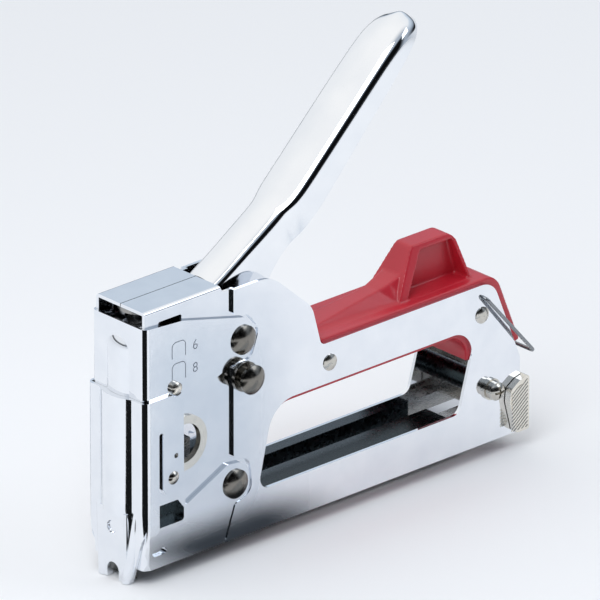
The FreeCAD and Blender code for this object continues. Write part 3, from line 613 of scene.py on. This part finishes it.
# %% The lower part of the insert
LEDGE = 66.9 * MM
FOOT = 65.6                # where the ridge and the hump start, inside the ledge, in mm
bpy.ops.object.select_all(action="DESELECT")
insert_mesh = frame["nodes"]["grip_insert"].data.copy()
insert = bpy.data.objects.new("grip_moulding", insert_mesh)
bpy.context.scene.collection.objects.link(insert)
bpy.context.view_layer.objects.active = insert
insert.select_set(True)
insert = start_piece("grip_moulding", "red_moulding", "body_frame")
bpy.ops.object.mode_set(mode="EDIT")
bpy.ops.mesh.select_all(action="SELECT")
bpy.ops.mesh.remove_doubles(threshold=0.002 * MM)
bpy.ops.mesh.bisect(plane_co=(0, 0, LEDGE), plane_no=(0, 0, 1), use_fill=True, clear_outer=True)
bpy.ops.object.mode_set(mode="OBJECT")
print("insert below the ledge", len(insert.data.polygons), "faces")


# %% The ridge, extruded along x from section to section
FOOT_HALF = 11.4           # half the ridge's width at its foot, in mm
WAIST = 67.7 * MM          # above this height the ridge's sides rise more steeply
WAIST_NARROWING = 0.78
# Each section has its place along the tool, its height and half its width at the top, in mm.
def ridge_corners(x, top, half):
    """Top left and right and low left and right corners of the ridge, from millimetres."""
    return [Vector((x, side * wide, z)) * MM
            for z, wide in ((top, half), (FOOT, FOOT_HALF)) for side in (-1, 1)]


RIDGE = [(81.8, 68.4, 5.0), (90, 68.8, 4.4), (100, 69.9, 3.5), (110, 71.0, 3.1),
         (117, 72.0, 3.3), (121.5, 73.4, 3.9), (126, 75.0, 4.2)]
ridge_centre = Vector((100, 0, 70)) * MM
ridge = start_cube(ridge_centre)
bpy.ops.object.mode_set(mode="EDIT")
sweep(ridge, ridge_centre, [ridge_corners(*section) for section in RIDGE])
bpy.ops.mesh.select_all(action="SELECT")
bpy.ops.mesh.bisect(plane_co=(0, 0, WAIST), plane_no=(0, 0, 1))
bpy.ops.transform.resize(value=(1, WAIST_NARROWING, 1), center_override=(0.1, 0, WAIST))
bpy.ops.mesh.select_all(action="SELECT")
bpy.ops.mesh.normals_make_consistent(inside=False)
bpy.ops.object.mode_set(mode="OBJECT")
print("ridge", len(ridge.data.vertices), "vertices")

# %% The hump and its two pockets
HUMP_TOP = 84.3
HUMP_ENDS = ((120.8, 131.8), (156.4, 151.6))       # each end's x at the foot and the top
HUMP_HALF_LOW, HUMP_HALF_HIGH = 9.0, 3.9
POCKET_LOW, POCKET_HIGH = 67.3, 81.9
POCKET_ENDS = ((126.2, 135.6), (154.6, 150.6))
RIB_HALF, PAST_SIDE = 1.6, 14      # the pockets leave a rib between them, and run out sideways
hump_centre = Vector((140, 0, 75)) * MM
hump = start_cube(hump_centre)
bpy.ops.object.mode_set(mode="EDIT")
for x_side, (x_low, x_high) in zip((-1, 1), HUMP_ENDS):
    goals = [Vector((x, side * half, z)) * MM
             for x, half, z in ((x_high, HUMP_HALF_HIGH, HUMP_TOP), (x_low, HUMP_HALF_LOW, FOOT))
             for side in (-1, 1)]
    move_points(hump, zip(box_end(hump_centre, x_side), goals))
select_points(hump, lambda place: place.x > 0.15 and place.z > 0.08)
bpy.ops.mesh.bevel(offset=4.2 * MM, segments=6, profile=0.5)
select_points(hump, lambda place: place.x < 0.14 and place.z > 0.08)
bpy.ops.mesh.bevel(offset=1.2 * MM, segments=3, profile=0.5)
bpy.ops.object.mode_set(mode="OBJECT")
for side in (-1, 1):
    pocket_centre = Vector((140, side * 10, 75)) * MM
    pocket = start_cube(pocket_centre)
    bpy.ops.object.mode_set(mode="EDIT")
    for x_side, (x_low, x_high) in zip((-1, 1), POCKET_ENDS):
        goals = [Vector((x, y, z)) * MM for x, z in ((x_high, POCKET_HIGH), (x_low, POCKET_LOW))
                 for y in sorted((side * RIB_HALF, side * PAST_SIDE))]
        move_points(pocket, zip(box_end(pocket_centre, x_side), goals))
    bpy.ops.object.mode_set(mode="OBJECT")
    modify(hump, "BOOLEAN", object=pocket, operation="DIFFERENCE", solver="EXACT")
    bpy.data.objects.remove(pocket)
print("hump", len(hump.data.vertices), "vertices")

# %% Melt the three into one moulding
bpy.ops.object.select_all(action="DESELECT")
for part in (hump, ridge, insert):
    part.select_set(True)
bpy.context.view_layer.objects.active = insert
bpy.ops.object.join()
modify(insert, "REMESH", mode="VOXEL", voxel_size=0.42 * MM, adaptivity=0)
modify(insert, "SMOOTH", factor=0.5, iterations=5)
insert.data.materials.clear()
insert.data.materials.append(finishes["red_moulding"])
bpy.ops.object.shade_smooth()
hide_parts("grip_insert")
print("grip moulding", len(insert.data.polygons), "faces")

# %% [markdown]
# ## Marks on the housing
# The real housing has the two leg lengths of its staples struck into the upper ear, beside
# an outline of each staple. Struck lines are dark because they hold shadow and dirt. Here
# they are thin inlays, a few hundredths of a millimetre proud: an arch, which is a thin block
# with two rounded corners and a smaller one taken out of it, and a plain number.

# %% Struck marks
finishes["struck_line"] = moulded("struck_line", "8F98A3", "737B86", (0.5, 0.6), 0.4, 0.2, 0.0)
WALL = Vector(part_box("front_housing")[0]).y
INLAY = 0.06 * MM


def arched_block(centre, size, corner):
    """A box whose two upper corners, seen from the side, are rounded."""
    bpy.ops.object.select_all(action="DESELECT")
    bpy.ops.mesh.primitive_cube_add(size=1, location=centre)
    block = bpy.context.object
    block.scale = size
    settle(block)
    bpy.ops.object.mode_set(mode="EDIT")
    bpy.ops.mesh.select_mode(type="EDGE")
    cage = bmesh.from_edit_mesh(block.data)
    for edge in cage.edges:
        one, other = (vertex.co for vertex in edge.verts)
        edge.select_set(min(one.z, other.z) > centre.z and abs(one.x - other.x) < 0.01 * MM)
    bmesh.update_edit_mesh(block.data)
    bpy.ops.mesh.bevel(offset=corner, segments=5, profile=0.5)
    bpy.ops.object.mode_set(mode="OBJECT")
    return block


def staple_mark(name, left, bottom, width, tall, line):
    """An upright staple outline on the left wall, from a block with its middle taken out."""
    centre = Vector((left + width / 2, WALL / MM, bottom + tall / 2)) * MM
    corner = width * 0.3
    mark = arched_block(centre, (width * MM, INLAY, tall * MM), corner * MM)
    gap = arched_block(centre - Vector((0, 0, line * MM)),
                       ((width - 2 * line) * MM, 1 * MM, tall * MM), (corner - line) * MM)
    modify(mark, "BOOLEAN", object=gap, operation="DIFFERENCE", solver="EXACT")
    bpy.data.objects.remove(gap)
    return start_piece(name, "struck_line", "body_frame")


def number_mark(name, words, left, bottom, tall):
    """A plain number on the left wall."""
    bpy.ops.object.select_all(action="DESELECT")
    bpy.ops.object.text_add(location=(left * MM, WALL, bottom * MM),
                            rotation=(math.pi / 2, 0, 0))
    mark = bpy.context.object
    mark.data.body = words
    mark.data.size = tall * MM
    mark.data.extrude = INLAY / 2
    mark.data.offset = -0.05 * MM
    bpy.ops.object.convert(target="MESH")
    settle(mark)
    return start_piece(name, "struck_line", "body_frame")


MARK_LEFT, ARCH_WIDTH, LINE_WIDTH = 12.5, 6.4, 0.32
NUMBER_ASIDE, NUMBER_RISE, NUMBER_SIZE = 9.4, 0.8, 5.2
for name, words, bottom, tall in (("short_leg", "6", 80.6, 6.0), ("long_leg", "8", 72.2, 6.6)):
    staple_mark(name + "_arch", MARK_LEFT, bottom, ARCH_WIDTH, tall, LINE_WIDTH)
    number_mark(name + "_number", words, MARK_LEFT + NUMBER_ASIDE, bottom + NUMBER_RISE,
                NUMBER_SIZE)
print("marks at y", round(WALL / MM, 2))

# %% [markdown]
# ## Knurling on the pull
# Each wing of the pull has straight teeth pressed in on the slant, to give the fingers hold.
# One tooth is a long thin bar with its top edges bevelled. It is copied along the wing, and
# the set is cut to the wing's outline, a little inside its edge.

# %% Knurled faces
knob_low, knob_high = (Vector(corner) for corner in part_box("pull_knob"))
TOOTH_PITCH, TOOTH_PROUD, TOOTH_LEAN = 1.15, 0.28, math.radians(38)
TOOTH_LENGTH, TOOTH_SHARE, TOOTH_BEVEL = 34, 0.62, 0.16
TEETH_EACH_WAY = 12


def knurled_face(name, side):
    """The teeth of one wing; side is -1 on the left of the tool and 1 on its right."""
    face_y = knob_low.y if side < 0 else knob_high.y
    middle = Vector((knob_high.x - 4.6 * MM, face_y, (knob_low.z + knob_high.z) / 2))
    teeth = []
    for count in range(-TEETH_EACH_WAY, TEETH_EACH_WAY + 1):
        bpy.ops.object.select_all(action="DESELECT")
        bpy.ops.mesh.primitive_cube_add(size=1)
        tooth = bpy.context.object
        tooth.scale = (TOOTH_LENGTH * MM, 2 * TOOTH_PROUD * MM, TOOTH_PITCH * TOOTH_SHARE * MM)
        tooth.rotation_euler = (0, -TOOTH_LEAN, 0)
        tooth.location = middle + Vector((-math.sin(TOOTH_LEAN), 0, math.cos(TOOTH_LEAN))) \
            * count * TOOTH_PITCH * MM
        settle(tooth)
        bpy.ops.object.mode_set(mode="EDIT")
        select_points(tooth, lambda place: (place.y - face_y) * side > 0)
        bpy.ops.mesh.bevel(offset=TOOTH_BEVEL * MM, segments=1)
        bpy.ops.object.mode_set(mode="OBJECT")
        teeth.append(tooth)
    bpy.ops.object.select_all(action="DESELECT")
    for tooth in teeth:
        tooth.select_set(True)
    bpy.context.view_layer.objects.active = teeth[0]
    bpy.ops.object.join()
    knurl = bpy.context.object
    fence = start_cube(middle)
    bpy.ops.object.mode_set(mode="EDIT")
    back, front = knob_high.x - 0.8 * MM, knob_low.x + 0.9 * MM
    low, high = knob_low.z + 1.0 * MM, knob_high.z - 1.2 * MM
    for x_side, x, top in ((-1, front, high - 3.4 * MM), (1, back, high)):
        goals = [Vector((x, middle.y + y * MM, z)) for z in (top, low) for y in (-1, 1)]
        move_points(fence, zip(box_end(middle, x_side), goals))
    bpy.ops.object.mode_set(mode="OBJECT")
    modify(knurl, "BOOLEAN", object=fence, operation="INTERSECT", solver="EXACT")
    bpy.data.objects.remove(fence)
    bpy.context.view_layer.objects.active = knurl
    knurl = start_piece(name, "satin_nickel", "loading_rail")
    print(name, len(knurl.data.polygons), "faces")


knurled_face("left_knurl", -1)
knurled_face("right_knurl", 1)
